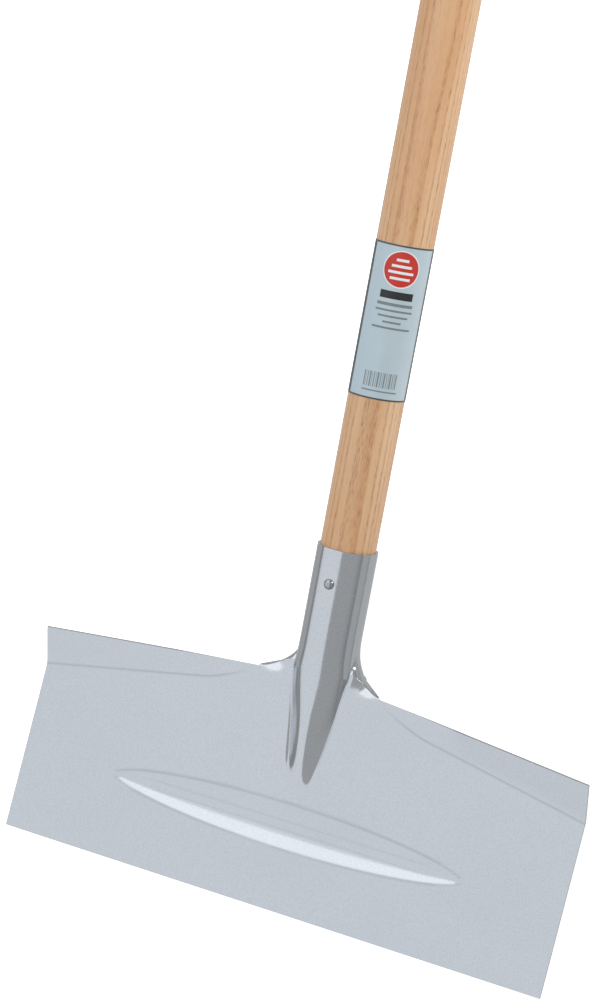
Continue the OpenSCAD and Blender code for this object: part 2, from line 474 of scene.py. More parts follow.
@dataclass(frozen=True)
class AshWood(Finish):
    """Turned ash with open lengthwise pores under a thin clear varnish.

    It gives the eye a pale, warm wood with long darker year lines, short fine dashes where the
    lathe opened the pores, and a soft sheen from the varnish.

    Attributes:
        pale: Late wood.
        warm: Broad warmer zones.
        streak: Early-wood lines.
        pore: The pores themselves.
        ring: Width of a growth ring, in millimetres.
        heart: How far the tree's middle lies beside the pole's line, in metres.
        sway_depth: How far the rings wander, in metres.
        sway: Waves of the rings per metre across and along, about 70 by 600 mm.
        pores: Pores per metre, drawn 0.5 by 6 mm. Real ones are 0.3 mm wide, too fine to show.
        fibre: Fibre streaks per metre, about 1.7 by 110 mm.
        zones: Warm zones per metre, about 17 by 330 mm.
        fibre_share: How much of the warm colour the fibre streaks take.
        ring_share: How much of the streak colour the year lines take.
        roughness: Lowest and highest roughness.
        varnish: Weight of the varnish.
        varnish_roughness: Roughness of the varnish.
    """

    name: str = "ash_wood_turned_varnished"
    pale: str = "#e0bb93"
    warm: str = "#cd9a6a"
    streak: str = "#b37b4d"
    pore: str = "#91633f"
    ring: float = 2.7
    heart: tuple[float, float] = (0.055, -0.075)
    sway_depth: float = 0.010
    sway: tuple[float, float, float] = (14.0, 14.0, 1.6)
    pores: tuple[float, float, float] = (2000.0, 2000.0, 170.0)
    fibre: tuple[float, float, float] = (600.0, 600.0, 9.0)
    zones: tuple[float, float, float] = (60.0, 60.0, 3.0)
    fibre_share: float = 0.45
    ring_share: float = 0.38
    roughness: tuple[float, float] = (0.38, 0.55)
    varnish: float = 0.8
    varnish_roughness: float = 0.22

    def rings(self, tree: bpy.types.NodeTree, local: Any, sway: Any) -> bpy.types.NodeSocket:
        """Draws the early wood of the growth rings round the tree's middle.

        Args:
            tree: The material's tree.
            local: Place in the wood, with Z along the pole.
            sway: How far the rings wander there, from 0 to 1.

        Returns:
            Where the early wood lies, 1 being darkest.
        """
        put = partial(add, tree)
        parts = put("SeparateXYZ", {"Vector": local})
        squares = []
        for axis, offset in zip("XY", self.heart):
            off = put("Math", {0: parts.outputs[axis], 1: offset}, operation="ADD").outputs[0]
            squares.append(put("Math", {0: off, 1: off}, operation="MULTIPLY").outputs[0])
        total = put("Math", {0: squares[0], 1: squares[1]}, operation="ADD").outputs[0]
        reach = put("Math", {0: total}, operation="SQRT").outputs[0]
        wander = put("Math", {0: sway, 1: self.sway_depth}, operation="MULTIPLY").outputs[0]
        warped = put("Math", {0: reach, 1: wander}, operation="ADD").outputs[0]
        count = put("Math", {0: warped, 1: self.ring * MM}, operation="DIVIDE").outputs[0]
        phase = put("Math", {0: count}, operation="FRACT").outputs[0]
        stops = [(0.0, 1.0), (0.12, 0.8), (0.30, 0.15), (0.86, 0.0), (1.0, 0.9)]
        return put("ValToRGB", {"Fac": phase}, stops).outputs["Color"]

    def build(self) -> bpy.types.Material:
        """Mixes the wood's colours, pores and varnish.

        Returns:
            The material.
        """
        material, tree, shader = self.new()
        put = partial(add, tree)
        place = put("TexCoord").outputs["Object"]
        upright = (math.radians(90.0 - Pole().lift), 0.0, 0.0)
        local = put("Mapping", {"Vector": place, "Rotation": upright}).outputs["Vector"]
        patterns = ((self.sway, 2.0), (self.pores, 2.0), (self.fibre, 4.0), (self.zones, 3.0))
        scaled = [(put("Mapping", {"Vector": local, "Scale": scale}), detail) for scale, detail in patterns]
        sway, pores, fibre, zone = (
            put("TexNoise", {"Vector": node.outputs["Vector"], "Scale": 1.0, "Detail": detail}).outputs["Fac"]
            for node, detail in scaled
        )
        early = self.rings(tree, local, sway)
        pore_mask, fibre_mask, zone_mask = (
            put("ValToRGB", {"Fac": source}, [(start, 0.0), (end, 1.0)]).outputs["Color"]
            for source, start, end in ((pores, 0.50, 0.64), (fibre, 0.4, 0.75), (zone, 0.35, 0.7))
        )
        fibres = put("Math", {0: fibre_mask, 1: self.fibre_share}, operation="MULTIPLY").outputs[0]
        lines = put("Math", {0: early, 1: self.ring_share}, operation="MULTIPLY").outputs[0]
        crowd = put("MapRange", {"Value": early, "To Min": 0.10, "To Max": 0.70}).outputs["Result"]
        shown = put("Math", {0: pore_mask, 1: crowd}, operation="MULTIPLY").outputs[0]

        layers = ((zone_mask, self.warm), (fibres, self.warm), (lines, self.streak), (shown, self.pore))
        tone: Any = linear(self.pale)
        for share, colour in layers:
            mix = {FACTOR: share, FIRST: tone, SECOND: linear(colour)}
            tone = put("Mix", mix, data_type="RGBA").outputs[MIXED]
        tree.links.new(tone, shader.inputs["Base Color"])

        low, high = self.roughness
        dry = put("MapRange", {"Value": fibre, "To Min": low, "To Max": high})
        tree.links.new(dry.outputs["Result"], shader.inputs["Roughness"])
        shader.inputs["Coat Weight"].default_value = self.varnish
        shader.inputs["Coat Roughness"].default_value = self.varnish_roughness

        raised = put("Math", {0: fibre, 1: 0.3}, operation="MULTIPLY").outputs[0]
        height = put("Math", {0: raised, 1: shown}, operation="SUBTRACT").outputs[0]
        bump = put("Bump", {"Strength": 0.25, "Distance": 0.3 * MM, "Height": height})
        tree.links.new(bump.outputs["Normal"], shader.inputs["Normal"])
        return material


@dataclass(frozen=True)
class Speckled(Finish):
    """A surface of two tones under a fine relief.

    Attributes:
        colour: Main colour.
        shade: Colour where it is darker.
        metallic: Share of bare metal, or of metal that shines through.
        roughness: Lowest and highest roughness.
        clouds: Patches of tone per metre, and their detail.
        grain: Grains of the relief per metre, and their detail.
        relief: Strength of the relief, and its depth in metres.
    """

    colour: str = "#ffffff"
    shade: str = "#ffffff"
    metallic: float = 0.0
    roughness: tuple[float, float] = (0.5, 0.5)
    clouds: tuple[float, float] = (100.0, 2.0)
    grain: tuple[float, float] = (100.0, 2.0)
    relief: tuple[float, float] = (0.1, 0.2 * MM)

    def build(self) -> bpy.types.Material:
        """Mixes the two tones and the relief.

        Returns:
            The material.
        """
        material, tree, shader = self.new()
        put = partial(add, tree)
        place = put("TexCoord").outputs["Object"]
        cloud, grain = (
            put("TexNoise", {"Vector": place, "Scale": scale, "Detail": detail}).outputs["Fac"]
            for scale, detail in (self.clouds, self.grain)
        )
        mix = {FACTOR: cloud, FIRST: linear(self.shade), SECOND: linear(self.colour)}
        tree.links.new(put("Mix", mix, data_type="RGBA").outputs[MIXED], shader.inputs["Base Color"])
        shader.inputs["Metallic"].default_value = self.metallic
        low, high = self.roughness
        haze = put("MapRange", {"Value": cloud, "To Min": low, "To Max": high})
        tree.links.new(haze.outputs["Result"], shader.inputs["Roughness"])
        strength, depth = self.relief
        bump = put("Bump", {"Strength": strength, "Distance": depth, "Height": grain})
        tree.links.new(bump.outputs["Normal"], shader.inputs["Normal"])
        return material


@dataclass(frozen=True)
class NailSteel(Speckled):
    """Bright drawn steel with a cold-headed dome.

    It gives the eye a small clear highlight that the header's die has mottled, in patches of about
    1.4 mm.
    """

    name: str = "bright_steel_cold_headed"
    colour: str = "#cdd1d6"
    shade: str = "#a4a8ad"
    metallic: float = 1.0
    roughness: tuple[float, float] = (0.12, 0.30)
    clouds: tuple[float, float] = (700.0, 3.0)
    grain: tuple[float, float] = (700.0, 3.0)
    relief: tuple[float, float] = (0.2, 0.3 * MM)


@dataclass(frozen=True)
class Ink(Speckled):
    """Ink printed on foil.

    It gives the eye an even satin colour, a little uneven over 18 mm and with a grain of 0.7 mm.
    The grain of a real print is too fine to show, so it is drawn coarser.
    """

    name: str = "printed_ink"
    colour: str = "#a9b3b6"
    shade: str = "#a0abaf"
    roughness: tuple[float, float] = (0.32, 0.46)
    clouds: tuple[float, float] = (55.0, 4.0)
    grain: tuple[float, float] = (1500.0, 2.0)
    relief: tuple[float, float] = (0.08, 0.2 * MM)


class Print(Enum):
    """The inks of the label."""

    BORDER = Ink("foil_print_dark_border", "#4f595c", "#434c4f")
    RED = Ink("foil_print_red", "#c8362c", "#b92f27")
    WHITE = Ink("foil_print_white", "#e9edef", "#dde2e4")
    CHARCOAL = Ink("foil_print_charcoal", "#2b2e30", "#222527")
    GREY = Ink("foil_print_grey", "#7b868a", "#727d81")


# The coat of the sheet is cut through at the shears, which leaves a duller, greyer and rougher band.
SHEARED_EDGE = ZincSheet("zinc_coated_steel_sheared_edge", "#8f9296", "#74777b", "#606366", (0.35, 0.5))
FOIL = Ink("foil_label_printed", "#bbccd6", "#b2c3cc", metallic=0.1)


# ---------------------------------------------------------------- the pressed sheet


class Row(IntEnum):
    """Rows of the sheet at which one region of it ends and the next starts."""

    CUTTING_EDGE = 0
    GROOVE_FRONT = 1
    GROOVE_REAR = 2
    FOLD = 3
    REAR_EDGE = 4
    SOCKET_ROOT = 5
    RIM = 6


@dataclass(frozen=True)
class SheetShape:
    """The shape of the pressed sheet, in millimetres from the line that joins the ends of the fold.

    Columns c run from -2 at the left side over -1 at the neck's edge to 2; rows k are those of Row.

    Attributes:
        half_width: Half of the blade's width.
        side_depth: Depth of the pan along its straight sides.
        thickness: Thickness of the sheet.
        flange_reach, flange_angle: Depth of the rear flange at the sides, and its slope in degrees.
        fold_rise: How far the fold of the flange comes back towards the neck.
        groove_half, groove_width, groove_slope, groove_y: Half length, width, wall slope in degrees
            and middle of the cross groove.
        groove_floor, groove_taper: Half width of its floor, and how its outline narrows.
        groove_row_min: Least half width of the rows that follow the groove.
        groove_fade: Half width of the outline under which the groove runs out.
        neck_half, neck_edge_y, neck_root_y: Half width of the neck, where its edge lies, and where
            the raised root turns into the socket.
        rear_root_y: Where the rear edge runs behind the root.
        neck_reach: Distance along the handle's line to the full round of the socket.
        fold_bend_x, fold_end_y, fold_follow: Where the fold starts to curve up, where it ends and
            how far it follows that curve.
        shoulder_height, shoulder_outer_x, shoulder_start_y: The shoulders beside the socket.
        flange_from_x, flange_run_x: Where the flange starts beside the neck, and over what width.
        dent_depth, dent_x, dent_y, dent_width, dent_run: The shallow dents at the shoulders.
        tip_y, tip_half, tip_lean, tip_roundness: The tip of the raised root.
        crease_depth, crease_width, crease_growth: The crease at the root's foot.
        fillet_height, fillet_fade: How the pan is drawn up at the root's foot.
        cap_growth: How late along the root its back turns round.
        root_radius, rim_radius: Inner radius of the socket at its root and its rim.
        seam_half_angle: Half of the open seam behind the socket, in degrees.
        bend: Radius of the pressed bends.
        fold_mark, rim_mark, floor_mark: Half width of the painted shade line at the fold, at the
            groove's edge and at its floor.
        floor_share: How strong the floor's painted shade line is.
        pole: The line of the handle.
    """

    half_width: float = 200.0
    side_depth: float = 115.0
    thickness: float = 1.5
    flange_reach: float = 25.0
    flange_angle: float = 28.0
    fold_rise: float = 29.0
    groove_half: float = 130.0
    groove_width: float = 30.0
    groove_slope: float = 28.0
    groove_y: float = -58.5
    groove_floor: float = 3.0
    groove_taper: float = 0.6
    groove_row_min: float = 7.0
    groove_fade: float = 3.0
    neck_half: float = 45.0
    neck_edge_y: float = 39.5
    neck_root_y: float = 46.0
    rear_root_y: float = 50.0
    neck_reach: float = 8.0
    fold_bend_x: float = 84.0
    fold_end_y: float = 38.0
    fold_follow: float = 0.9
    shoulder_height: float = 3.0
    shoulder_outer_x: float = 120.0
    shoulder_start_y: float = 6.0
    flange_from_x: float = 56.0
    flange_run_x: float = 60.0
    dent_depth: float = 2.4
    dent_x: float = 35.0
    dent_y: float = 47.0
    dent_width: float = 9.0
    dent_run: float = 7.0
    tip_y: float = -34.0
    tip_half: float = 7.5
    tip_lean: float = 2.3
    tip_roundness: float = 3.0
    crease_depth: float = 1.1
    crease_width: float = 1.3
    crease_growth: float = 3.0
    fillet_height: float = 1.8
    fillet_fade: float = 5.0
    cap_growth: float = 1.6
    root_radius: float = 20.2
    rim_radius: float = 20.3
    seam_half_angle: float = 2.5
    bend: float = 1.2
    fold_mark: float = 0.75
    rim_mark: float = 0.7
    floor_mark: float = 0.8
    floor_share: float = 0.35
    pole: Pole = field(default_factory=Pole)

    def groove_side(self, x: Any) -> Any:
        """Half width of the groove at x."""
        left = np.maximum(0.0, 1.0 - (x / self.groove_half) ** 2)
        return self.groove_width / 2 * left**self.groove_taper

    def groove(self, x: Any, y: Any) -> Any:
        """Gives the groove's depth, with rounded edges.

        Args:
            x: Distance from the middle.
            y: Distance behind the ends of the fold.

        Returns:
            The depth there.
        """
        side = np.maximum(self.groove_side(x), 1e-3)
        across = (y - self.groove_y) / side
        steep = math.tan(math.radians(self.groove_slope)) * side / 2
        pressed = soft_positive(steep * (1.0 - across * across), self.bend / 3)
        return pressed * smooth_step(side / self.groove_fade)

    def fold_y(self, x: Any) -> Any:
        """Gives the line of the flange's fold.

        Args:
            x: Distance from the middle.

        Returns:
            Where the fold runs there.
        """
        straight = self.fold_rise * (self.half_width - x) / (self.half_width - self.neck_half)
        inward = np.clip((self.fold_bend_x - x) / (self.fold_bend_x - self.neck_half), 0.0, 1.0)
        share = inward**2 * self.fold_follow
        return straight + (self.fold_end_y - straight) * share

    def rear_y(self, x: Any) -> Any:
        """Gives the line of the rear edge.

        Args:
            x: Distance from the middle.

        Returns:
            Where the edge runs there.
        """
        outward = (x - self.neck_half) / (self.half_width - self.neck_half)
        wing = self.neck_edge_y + (self.flange_reach - self.neck_edge_y) * outward
        rise = smooth_step((self.neck_half - x) / (self.neck_half / 2))
        root = self.neck_edge_y + (self.rear_root_y - self.neck_edge_y) * rise
        return np.where(x > self.neck_half, wing, root)

    def pan(self, x: Any, y: Any) -> Any:
        """Gives the height of the pan, its flange and the shoulders beside the socket.

        Args:
            x: Distance from the middle.
            y: Distance behind the ends of the fold.

        Returns:
            The height there.
        """
        shoulder = (
            self.shoulder_height
            * smooth_step((y - self.shoulder_start_y) / (self.neck_edge_y - self.shoulder_start_y))
            * smooth_step((self.shoulder_outer_x - x) / (self.shoulder_outer_x - self.neck_half))
        )
        slope = math.tan(math.radians(self.flange_angle))
        flange = slope * soft_positive(y - self.fold_y(x), self.bend)
        aside = ((x - self.dent_x) / self.dent_width) ** 2
        along = ((y - self.dent_y) / self.dent_run) ** 2
        dent = self.dent_depth * np.exp(-aside - along)
        return shoulder + flange * smooth_step((x - self.flange_from_x) / self.flange_run_x) - dent

    def root_run(self, y: Any) -> Any:
        """How far y has come from the tip of the raised root to the neck, from 0 to 1."""
        return np.clip((y - self.tip_y) / (self.neck_root_y - self.tip_y), 0.0, 1.0)

    def root_half(self, y: Any) -> Any:
        """Half width of the raised root."""
        return self.tip_half + (self.root_radius - self.tip_half) * self.root_run(y)

    def crest(self, y: Any) -> Any:
        """Gives the top line of the raised root.

        Args:
            y: Distance behind the ends of the fold.

        Returns:
            Its height there.
        """
        angle = math.radians(self.pole.lift)
        above = self.root_radius / math.cos(angle)
        top = (self.neck_root_y - self.pole.axis_y) * math.tan(angle) + above
        straight = (y - self.pole.axis_y) * math.tan(angle) + above
        return np.where(y > self.neck_root_y, straight, top * self.root_run(y))

    def crease(self, y: Any) -> Any:
        """Depth of the crease at the foot of the raised root."""
        return self.crease_depth * smooth_step(self.root_run(y) * self.crease_growth)

    def fillet(self, y: Any) -> Any:
        """Height to which the pan is drawn up at the foot of the raised root."""
        return self.fillet_height * smooth_step(self.root_run(y))

    def root_height(self, x: Any, y: Any) -> Any:
        """Gives the height of the raised root: a round back that sharpens towards the tip.

        Args:
            x: Distance from the root's middle.
            y: Distance behind the ends of the fold.

        Returns:
            The height there.
        """
        half = self.root_half(y)
        foot = self.pan(0.0, y) + self.fillet(y) - self.crease(y)
        rise = np.maximum(self.crest(y) - foot, 1e-3)
        radius = (half * half + rise * rise) / (2.0 * rise)
        cap = np.sqrt(radius * radius - x * x) - radius + rise
        peak = rise * np.maximum(0.0, 1.0 - (x / half) ** 2) ** (self.tip_roundness / 2.0)
        return foot + peak + (cap - peak) * smooth_step(self.root_run(y) ** self.cap_growth)

    def nominal_x(self, c: Any) -> Any:
        """Distance from the middle at which a column meets the neck."""
        outside = self.neck_half + (self.half_width - self.neck_half) * (c - 1.0)
        return np.where(c <= 1.0, self.neck_half * c, outside)

    def pan_point(self, c: Any, y: Any) -> np.ndarray:
        """Gives points of the pan.

        Args:
            c: Their columns.
            y: Distance behind the ends of the fold.

        Returns:
            The points.
        """
        a = np.abs(c)
        half = self.root_half(y)
        x = np.where(
            a <= 0.5,
            half * np.sin(np.pi * np.minimum(a, 0.5)),
            np.where(a <= 1.0, half + (self.neck_half - half) * (2.0 * a - 1.0), self.nominal_x(a)),
        )
        gap = np.maximum(0.0, x - half)
        beside = (
            self.pan(x, y)
            + self.fillet(y) * np.exp(-gap / self.fillet_fade)
            - self.crease(y) * np.exp(-((gap / self.crease_width) ** 2))
        )
        root = self.root_height(np.minimum(x, half), y)
        z = np.where(a <= 0.5, root, np.where(a <= 1.0, beside, self.pan(x, y))) - self.groove(x, y)
        lean = self.tip_lean * (1.0 - self.root_run(y)) * np.clip(2.0 - 2.0 * a, 0.0, 1.0)
        return np.stack(np.broadcast_arrays(np.sign(c) * x + lean, y, z), -1)

    def socket_point(self, c: Any, along: Any) -> np.ndarray:
        """Gives points of the rolled socket.

        Args:
            c: Their columns.
            along: Distance along the handle's line.

        Returns:
            The points.
        """
        turn = c * math.radians(180.0 - self.seam_half_angle)
        flare = (self.rim_radius - self.root_radius) * np.clip(along / self.pole.rim, 0.0, 1.0)
        radius = self.root_radius + flare
        angle = math.radians(self.pole.lift)
        out = radius * np.cos(turn)
        x = radius * np.sin(turn)
        y = self.pole.axis_y + along * math.cos(angle) - out * math.sin(angle)
        z = along * math.sin(angle) + out * math.cos(angle)
        return np.stack(np.broadcast_arrays(x, y, z), -1)

    def groove_row(self, x: Any, u: float) -> Any:
        """Gives a row of the groove.

        Args:
            x: Distance from the middle.
            u: The row, from -1 at the groove's front edge to 1 at its rear edge.

        Returns:
            Where the row runs there.
        """
        a = abs(u)
        side = np.maximum(self.groove_row_min, self.groove_side(x))
        if a < 1 / 3:
            off = 3 * a * self.groove_floor
        else:
            off = self.groove_floor + (side - self.groove_floor) * (3 * a - 1) / 2
        return self.groove_y + math.copysign(1.0, u) * off + 0 * x

    def row_y(self, k: float, x: Any) -> Any:
        """Gives the line of a row of the pan.

        Args:
            k: The row, up to the rear edge.
            x: Distance from the middle.

        Returns:
            Where the row runs there.
        """
        if k < Row.GROOVE_FRONT:
            return -self.side_depth + (self.groove_row(x, -1.0) + self.side_depth) * k
        if k < Row.GROOVE_REAR:
            return self.groove_row(x, 2 * k - 3)
        if k < Row.FOLD:
            start = self.groove_row(x, 1.0)
            return start + (self.fold_y(x) - start) * (k - Row.GROOVE_REAR)
        return self.fold_y(x) + (self.rear_y(x) - self.fold_y(x)) * (k - Row.FOLD)

    def neck_point(self, c: np.ndarray, t: float) -> np.ndarray:
        """Gives points of the neck, between the pan and the socket.

        Args:
            c: Their columns.
            t: Share of the way from the rear of the pan to the root of the socket.

        Returns:
            The points.
        """
        start = self.rear_y(self.nominal_x(np.abs(c)))
        flat = self.pan_point(c, start + (self.pole.axis_y - start) * t / 2)
        below = (start - self.pole.axis_y) / math.cos(math.radians(self.pole.lift))
        round_part = self.socket_point(c, below + (self.neck_reach - below) * t)
        return flat + (round_part - flat) * smooth_step(t)

    def points(self, c: np.ndarray, k: float) -> np.ndarray:
        """Gives the points of one row of the sheet.

        Args:
            c: Their columns.
            k: The row.

        Returns:
            The points.
        """
        if k <= Row.REAR_EDGE:
            return self.pan_point(c, self.row_y(k, self.nominal_x(np.abs(c))))
        if k <= Row.SOCKET_ROOT:
            return self.neck_point(c, k - Row.REAR_EDGE)
        reach = self.pole.rim - self.neck_reach
        return self.socket_point(c, self.neck_reach + (k - Row.SOCKET_ROOT) * reach)

    def crease_shade_line(self, c: np.ndarray, points: np.ndarray, k: float) -> np.ndarray:
        """Gives how strongly each point of a row takes the painted shade line along a pressed bend.

        Args:
            c: Columns of the points.
            points: The points.
            k: Their row.

        Returns:
            The strength of the painted shade at each point, from 0 to 1.
        """
        if k > Row.REAR_EDGE:
            return np.zeros_like(c)
        a, y = np.abs(c), points[:, 1]
        x = np.abs(points[:, 0])
        beside_neck = smooth_step((a - 1.0) * 6.0)
        fold = np.exp(-(((y - self.fold_y(x)) / self.fold_mark) ** 2)) * beside_neck
        side = self.groove_side(x)
        off = np.abs(y - self.groove_y)
        inside = smooth_step((side - 0.3) / 1.5)
        rim = np.exp(-(((off - side) / self.rim_mark) ** 2)) * inside
        wide = smooth_step((side - 6.0) / 4.0)
        floor = self.floor_share * np.exp(-(((off - self.groove_floor) / self.floor_mark) ** 2)) * wide
        return np.maximum.reduce([fold, rim, floor])


@dataclass(frozen=True)
class SheetGrid:
    """How finely the sheet is laid out.

    Attributes:
        wing, shoulder, root: Steps of the columns over a wing, beside the root and over the root.
        wing_crowd, shoulder_crowd: How the first two crowd towards the socket.
        root_span: Share of a half turn whose sine spaces the root's columns.
        front, groove, web, flange, neck, socket: Steps of the rows in each region.
        web_crowd, flange_crowd: How the rows before and behind the fold crowd towards it.
    """

    wing: int = 56
    shoulder: int = 20
    root: int = 56
    wing_crowd: float = 1.35
    shoulder_crowd: float = 1.3
    root_span: float = 0.8
    front: int = 20
    groove: int = 48
    web: int = 46
    flange: int = 18
    neck: int = 36
    socket: int = 20
    web_crowd: float = 1.4
    flange_crowd: float = 1.5

    def columns(self) -> np.ndarray:
        """Spaces the columns.

        Returns:
            Column values from -2 to 2, crowded towards the socket.
        """
        wing = 1.0 + (np.arange(1, self.wing + 1) / self.wing) ** self.wing_crowd
        shoulder = 0.5 + 0.5 * (np.arange(1, self.shoulder + 1) / self.shoulder) ** self.shoulder_crowd
        turns = np.linspace(-1, 1, self.root + 1) * math.pi / 2 * self.root_span
        root = np.sin(turns) / math.sin(math.pi / 2 * self.root_span) * 0.5
        return np.concatenate([-wing[::-1], -shoulder[::-1], root, shoulder, wing])

    def rows(self) -> list[float]:
        """Spaces the rows.

        Returns:
            Row values from the cutting edge to the rim, crowded at the fold.
        """
        front = [i / self.front for i in range(self.front)]
        groove = [Row.GROOVE_FRONT + i / self.groove for i in range(self.groove)]
        web = [Row.FOLD - ((self.web - i) / self.web) ** self.web_crowd for i in range(self.web)]
        flange = [Row.FOLD + (i / self.flange) ** self.flange_crowd for i in range(self.flange)]
        neck = [Row.REAR_EDGE + i / self.neck for i in range(self.neck)]
        socket = [Row.SOCKET_ROOT + i / self.socket for i in range(self.socket + 1)]
        return front + groove + web + flange + neck + socket


@dataclass
class Blade:
    """The pressed blade with its rolled socket.

    Attributes:
        place: Where the pan lies.
        shape: The sheet's shape.
        grid: How finely it is laid out.
        obj: The finished object.
    """

    place: Place
    shape: SheetShape = field(default_factory=SheetShape)
    grid: SheetGrid = field(default_factory=SheetGrid)
    obj: bpy.types.Object | None = None

    def build(self) -> bpy.types.Object:
        """Lays out the sheet, marks the painted shade lines along its bends and thickens it.

        Returns:
            The blade.
        """
        slack = 1e-9
        columns = self.grid.columns()
        inner = np.abs(columns) <= 1.0 + slack
        mesh = bmesh.new()
        # The bend layer holds the painted shade lines along the fold and the groove.
        mark = mesh.verts.layers.float.new("bend")
        previous: dict[int, bmesh.types.BMVert] = {}
        for k in self.grid.rows():
            keep = np.ones_like(inner) if k <= Row.REAR_EDGE + slack else inner
            places = self.shape.points(columns, k)
            current = {int(i): mesh.verts.new(places[i]) for i in np.nonzero(keep)[0]}
            strength = self.shape.crease_shade_line(columns, places, k)
            for i, vertex in current.items():
                vertex[mark] = float(strength[i])
            for i in current:
                if i + 1 in current and i in previous and i + 1 in previous:
                    mesh.faces.new((previous[i], previous[i + 1], current[i + 1], current[i]))
            previous = current
        data = bpy.data.meshes.new("blade_sheet")
        mesh.to_mesh(data)
        mesh.free()
        obj = bpy.data.objects.new("blade_sheet", data)
        bpy.context.collection.objects.link(obj)
        solid = obj.modifiers.new("thickness", "SOLIDIFY")
        solid.thickness = self.shape.thickness
        solid.offset = -1.0
        solid.use_even_offset = False
        solid.material_offset_rim = 1
        apply_all(obj)
        self.obj = settle(obj, "blade_sheet", self.place.matrix(), angle=50.0)
        return self.obj

    def dress(self) -> None:
        """Gives the blade its finish and its sheared edge, and ties it to the frame."""
        self.obj.data.materials.append(ZincSheet().build())
        self.obj.data.materials.append(SHEARED_EDGE.build())
        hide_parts("blade")
        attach(self.obj, ROOT)


# ---------------------------------------------------------------- handle, nail and label


@dataclass
class Handle:
    """The turned ash pole.

    Attributes:
        place: Where the pan lies.
        pole: The line of the handle.
        bevel: Width and height of the bevel round its foot.
        first: Station of the first ring above the bevel.
        step: Distance between the rings.
        dome_steps: Steps over the domed end.
        sides: Steps round the pole.
        obj: The finished object.
    """

    place: Place
    pole: Pole = field(default_factory=Pole)
    bevel: tuple[float, float] = (2.0, 4.0)
    first: float = 24.0
    step: float = 12.0
    dome_steps: int = 12
    sides: int = 96
    obj: bpy.types.Object | None = None

    def build(self) -> bpy.types.Object:
        """Turns the pole with a bevelled foot and a domed end.

        Returns:
            The handle.
        """
        pole = self.pole
        end = pole.length - pole.grip_radius
        width, height = self.bevel
        profile = [
            (0.0, pole.foot),
            (pole.foot_radius - width, pole.foot),
            (pole.foot_radius, pole.foot + height),
        ]
        profile += [(pole.radius(float(s)), float(s)) for s in np.arange(self.first, end, self.step)]
        for angle in quarter_turn(self.dome_steps)[:-1]:
            profile.append((pole.grip_radius * math.cos(angle), end + pole.grip_radius * math.sin(angle)))
        profile.append((0.0, pole.length))
        obj = lathe(profile, self.sides)
        self.obj = settle(obj, "handle_pole", self.place.matrix() @ self.turned())
        return self.obj

    def turned(self) -> Matrix:
        """Lays the Z axis along the handle.

        Returns:
            The matrix that does so.
        """
        pole = self.pole
        axes = Matrix((ACROSS, -pole.front, pole.along)).transposed().to_4x4()
        return Matrix.Translation((0.0, pole.axis_y, 0.0)) @ axes

    def dress(self) -> None:
        """Gives the handle its finish and ties it to the frame."""
        self.obj.data.materials.append(AshWood().build())
        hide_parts("handle")
        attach(self.obj, ROOT)


@dataclass
class Nail:
    """The round-headed nail through the front of the socket.

    Attributes:
        place: Where the pan lies.
        handle: The pole it holds.
        station: Where it sits along the handle's line.
        seat: Distance of its head's underside from that line.
        head_radius: Radius of its head.
        head_height: Height of its head.
        head_round: How the head's dome fills out, 1 being an ellipse.
        shank_radius: Radius of its shank.
        length: Length under the head.
        point: Length of its point.
        point_radius: Radius of the point's blunt end.
        dome_steps: Steps over the head.
        sides: Steps round the nail.
        obj: The finished object.
    """

    place: Place
    handle: Handle
    station: float = 45.0
    seat: float = 20.26
    head_radius: float = 3.6
    head_height: float = 2.4
    head_round: float = 0.9
    shank_radius: float = 2.0
    length: float = 27.0
    point: float = 5.0
    point_radius: float = 0.3
    dome_steps: int = 12
    sides: int = 48
    obj: bpy.types.Object | None = None

    def build(self) -> bpy.types.Object:
        """Turns the head, shank and point as one solid.

        Returns:
            The nail.
        """
        profile = [(0.0, self.head_height)]
        for angle in quarter_turn(self.dome_steps)[1:]:
            out = self.head_radius * math.sin(angle) ** self.head_round
            profile.append((out, self.head_height * math.cos(angle)))
        profile += [
            (self.shank_radius, 0.0),
            (self.shank_radius, -self.length + self.point),
            (self.point_radius, -self.length),
            (0.0, -self.length),
        ]
        obj = lathe(profile, self.sides)
        pole = self.handle.pole
        axes = Matrix((ACROSS, pole.along, pole.front)).transposed().to_4x4()
        seat = Matrix.Translation(pole.point(self.station, 0.0, self.seat))
        self.obj = settle(obj, "nail_domed", self.place.matrix() @ seat @ axes, angle=50.0)
        return self.obj

    def dress(self) -> None:
        """Gives the nail its finish and ties it to the frame."""
        self.obj.data.materials.append(NailSteel().build())
        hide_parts("nail")
        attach(self.obj, ROOT)


class Bar(NamedTuple):
    """A printed bar across the label, in millimetres.

    Attributes:
        width: Size round the handle.
        height: Size up the handle.
        drop: Distance of its middle below the label's top edge.
        ink: Its ink.
        layer: How many other prints lie under it.
    """

    width: float
    height: float
    drop: float
    ink: Print
    layer: int = 0


# White bars in the disc in place of a mark, then a dark bar and grey bars in place of words.
BARS = (
    Bar(8.0, 1.7, 9.6, Print.WHITE, 2),
    Bar(13.0, 1.7, 13.6, Print.WHITE, 2),
    Bar(16.5, 1.7, 17.6, Print.WHITE, 2),
    Bar(13.0, 1.7, 21.6, Print.WHITE, 2),
    Bar(22.0, 5.0, 32.5, Print.CHARCOAL),
    Bar(24.0, 2.0, 38.6, Print.GREY),
    Bar(25.0, 1.3, 42.6, Print.GREY),
    Bar(20.0, 1.3, 46.4, Print.GREY),
    Bar(12.0, 1.3, 50.2, Print.GREY),
    Bar(26.0, 1.3, 54.0, Print.GREY),
)

# Widths of the upright strips near the lower edge. They stand for no number.
STRIPS = (0.7, 0.3, 0.5, 0.9, 0.3, 0.6, 0.3, 1.0, 0.5, 0.3, 0.8, 0.4, 0.3, 0.9, 0.5, 0.3, 0.7)


